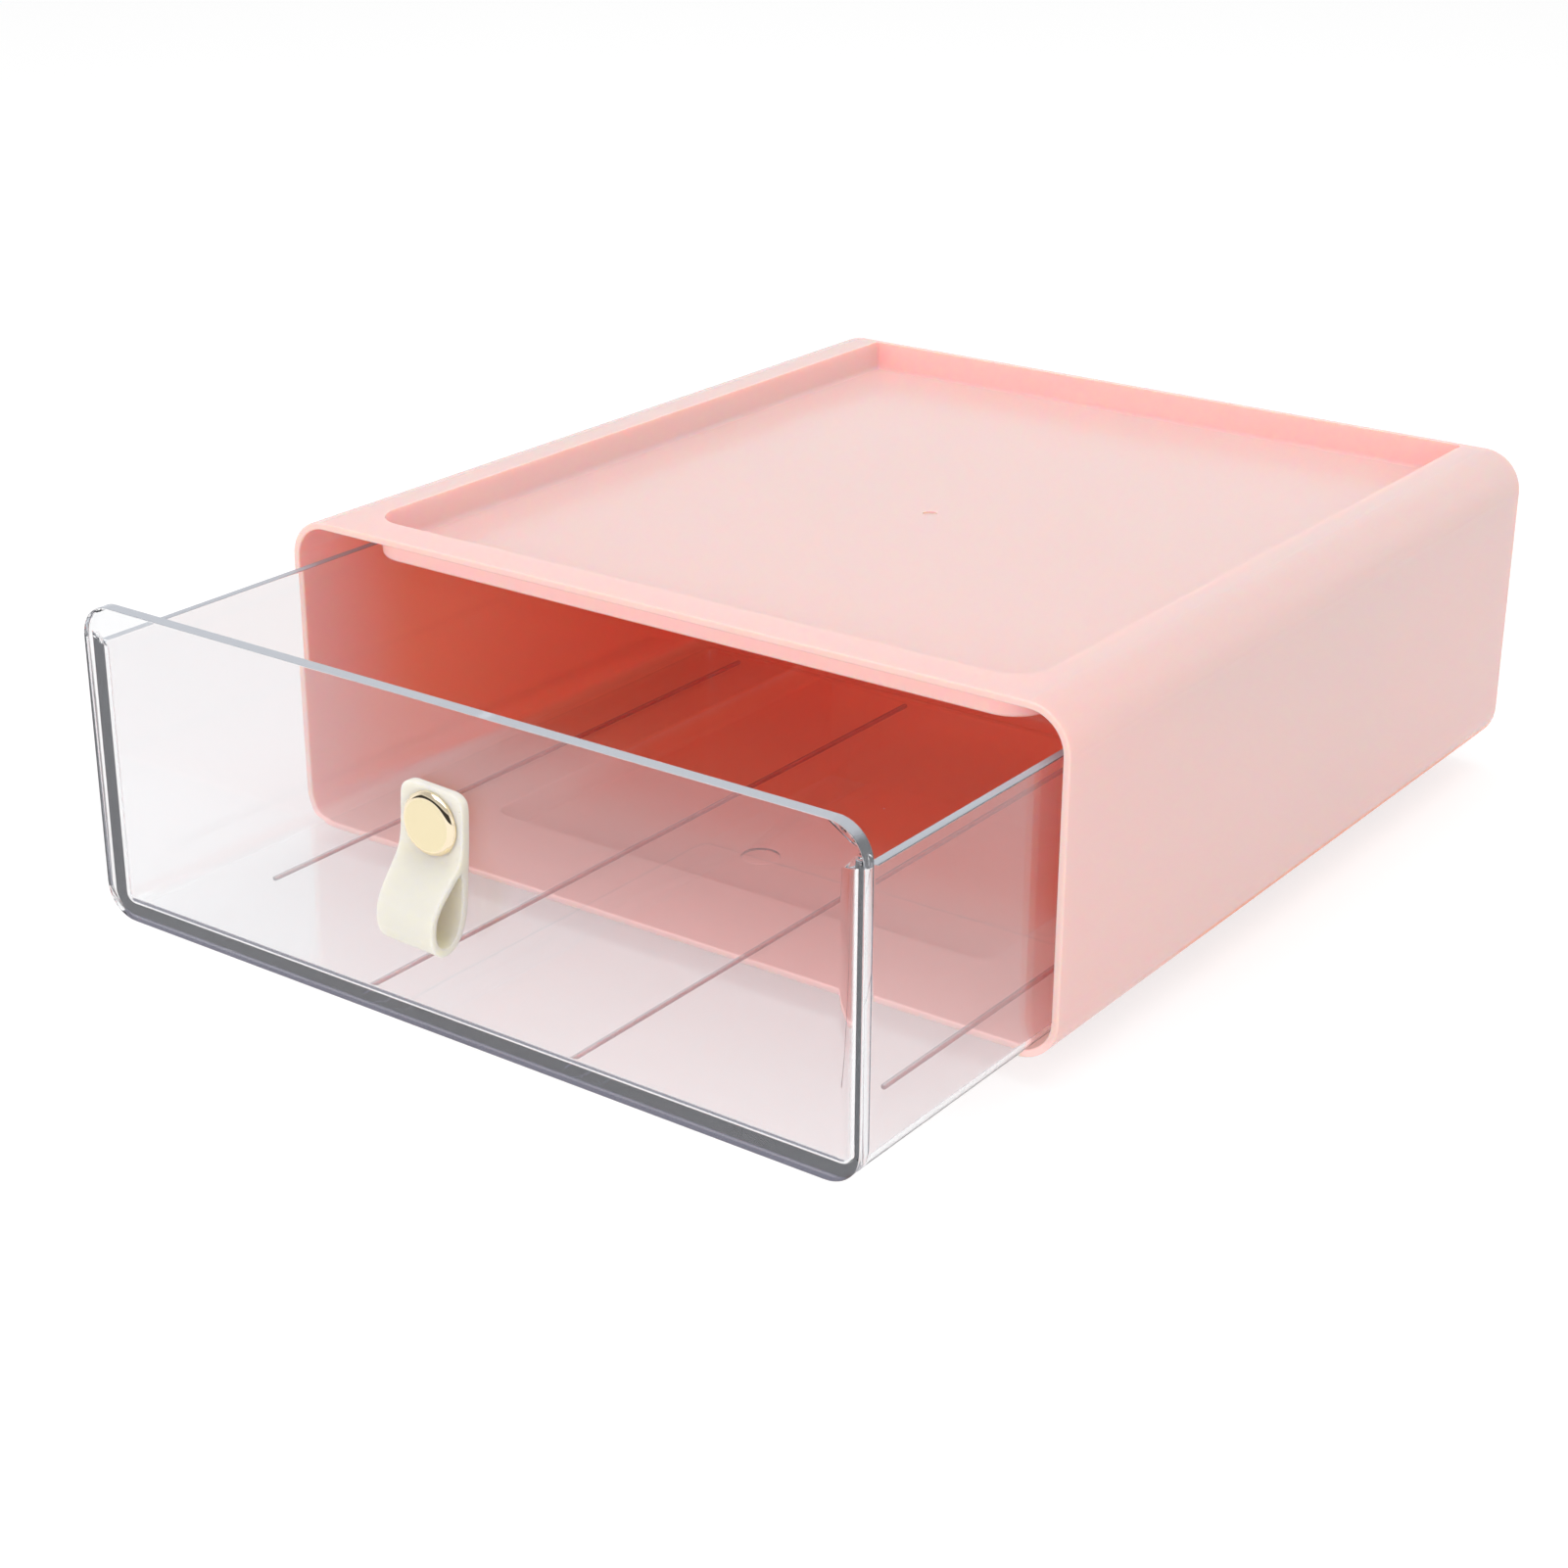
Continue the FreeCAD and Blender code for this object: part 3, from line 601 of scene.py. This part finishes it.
# Rivet head, from the middle of its face out over the rolled bevel, back to the strap, down the
# post to the panel and up the screw's bore: radius and depth in front of the panel, in millimetres
HEAD_SECTION = (
    (0.0, 3.70), (4.60, 3.70), (5.28, 3.70), (5.42, 3.69), (5.62, 3.63), (5.86, 3.51),
    (6.09, 3.33), (6.28, 3.11), (6.41, 2.87), (6.48, 2.64), (6.50, 2.46), (6.48, 2.33),
    (6.40, 2.24), (6.26, 2.20), (2.25, 2.20), (2.06, 2.19), (2.00, 2.13), (2.00, 0.14),
    (1.96, 0.04), (1.86, 0.00), (1.27, 0.00), (1.27, 2.50), (0.0, 2.50),
)
FACE_REACH = 5.32
HEAD_STEPS = 96


def make_rivet_head(rivet, panel_front, material):
    """Turn the head's half section about the rivet's axis."""
    turned = bmesh.new()
    section = [turned.verts.new((rivet.x + radius * MM, panel_front - depth * MM, rivet.z))
               for radius, depth in HEAD_SECTION]
    lines = [turned.edges.new(pair) for pair in zip(section, section[1:])]
    bmesh.ops.spin(turned, geom=section + lines, cent=(rivet.x, panel_front, rivet.z),
                   axis=(0.0, 1.0, 0.0), angle=math.tau, steps=HEAD_STEPS, use_merge=True,
                   use_duplicate=False)
    bmesh.ops.remove_doubles(turned, verts=turned.verts, dist=0.001 * MM)
    bmesh.ops.recalc_face_normals(turned, faces=turned.faces)
    piece = new_piece("rivet_head", turned, material, "drawer")
    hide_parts("rivet_cap")


# Stage, lights and camera

def make_floor():
    """A wide pale floor that the camera sees as white, apart from the shadows on it."""
    paint = new_paint("studio_floor")
    matt = paint.shader(Base_Color=FLOOR_GREY, Roughness=0.9)
    seen, glossy, refracted = paint.light_path("Is Camera Ray", "Is Glossy Ray",
                                               "Is Transmission Ray")
    glowing = (seen * SEEN_SHARE).greatest(glossy.greatest(refracted) * SHOWN_SHARE)
    glow = paint.node("ShaderNodeEmission", values={"Color": WHITE, "Strength": FLOOR_GLOW})
    surface = paint.blend(glowing, matt, glow)
    mesh = bmesh.new()
    bmesh.ops.create_grid(mesh, x_segments=1, y_segments=1, size=FLOOR_HALF)
    data = bpy.data.meshes.new("studio_floor")
    mesh.to_mesh(data)
    mesh.free()
    data.materials.append(paint.finish(surface))
    floor = bpy.data.objects.new("studio_floor", data)
    bpy.context.scene.collection.objects.link(floor)


def add_lamp(name, place, aim, width, height, strength, mirrored=True):
    """A softbox that looks at a point. Its strength is the brightness of its face.

    Polished metal shows it if it is mirrored.
    """
    data = bpy.data.lights.new(name, "AREA")
    data.shape = "RECTANGLE"
    data.size = width
    data.size_y = height
    data.energy = strength * math.pi * width * height
    lamp = bpy.data.objects.new(name, data)
    bpy.context.scene.collection.objects.link(lamp)
    lamp.location = place
    lamp.rotation_euler = (Vector(aim) - Vector(place)).to_track_quat("-Z", "Y").to_euler()
    lamp.visible_glossy = mirrored


def make_world():
    """A pale studio: white to the camera and near the horizon, greyer overhead.

    Reflections also find the dark end of the room, low down in front of the box.
    """
    world = bpy.data.worlds.new("studio")
    bpy.context.scene.world = world
    paint = Paint(world)
    _, depth, height = paint.parts(paint.node("ShaderNodeTexCoord", output="Generated"))
    seen, glossy = paint.light_path("Is Camera Ray", "Is Glossy Ray")
    low_down = height.ramp(-0.05, 0.0) * (1 - height.ramp(0.46, 0.52))
    dark_end = glossy * low_down * (1 - depth.ramp(-0.45, -0.30))
    shade = (1.0 - height.ramp(0.25, 0.75) * 0.45) * (1.0 - dark_end * 0.95)
    strength = seen + (1 - seen) * shade
    background = paint.node("ShaderNodeBackground", values={"Color": WHITE, "Strength": strength})
    paint.node("ShaderNodeOutputWorld", values={"Surface": background})


def make_camera():
    forward = Vector((-math.sin(CAMERA_YAW) * math.cos(CAMERA_PITCH),
                      math.cos(CAMERA_YAW) * math.cos(CAMERA_PITCH), -math.sin(CAMERA_PITCH)))
    right = Vector((math.cos(CAMERA_YAW), math.sin(CAMERA_YAW), 0.0))
    up = right.cross(forward)
    turned_right = right * math.cos(CAMERA_ROLL) + up * math.sin(CAMERA_ROLL)
    turned_up = up * math.cos(CAMERA_ROLL) - right * math.sin(CAMERA_ROLL)
    data = bpy.data.cameras.new("photo_camera")
    data.sensor_width = SENSOR
    data.sensor_fit = "HORIZONTAL"
    data.lens = FOCAL_PIXELS * SENSOR / PHOTO_WIDTH
    data.clip_start = 0.01
    camera = bpy.data.objects.new("photo_camera", data)
    bpy.context.scene.collection.objects.link(camera)
    basis = Matrix((turned_right, turned_up, -forward)).transposed()
    camera.matrix_world = Matrix.Translation(CAMERA_PLACE) @ basis.to_4x4()
    bpy.context.scene.camera = camera


low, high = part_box("rivet_cap")
rivet_middle = (low + high) / 2
drawer_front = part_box("drawer")[0].y
paint_node("case", moulded_blush())
make_drawer(drawer_front, clear_moulded(drawer_front))
make_strap(rivet_middle, drawer_front, soft_cream())
make_rivet_head(rivet_middle, drawer_front, brushed_gold(rivet_middle))
paint_node("rivet_screw", zinc_plate())

make_floor()
make_world()
add_lamp("overhead_softbox", place=(0.10, 0.05, 1.30), aim=(0.0, 0.0, 0.0), width=1.3, height=1.3,
         strength=1.6)
add_lamp("front_softbox", place=(0.10, -1.55, 0.42), aim=(0.0, -0.1, 0.04), width=1.8, height=0.7,
         strength=2.3, mirrored=False)
make_camera()
bpy.context.scene.view_settings.view_transform = "Standard"
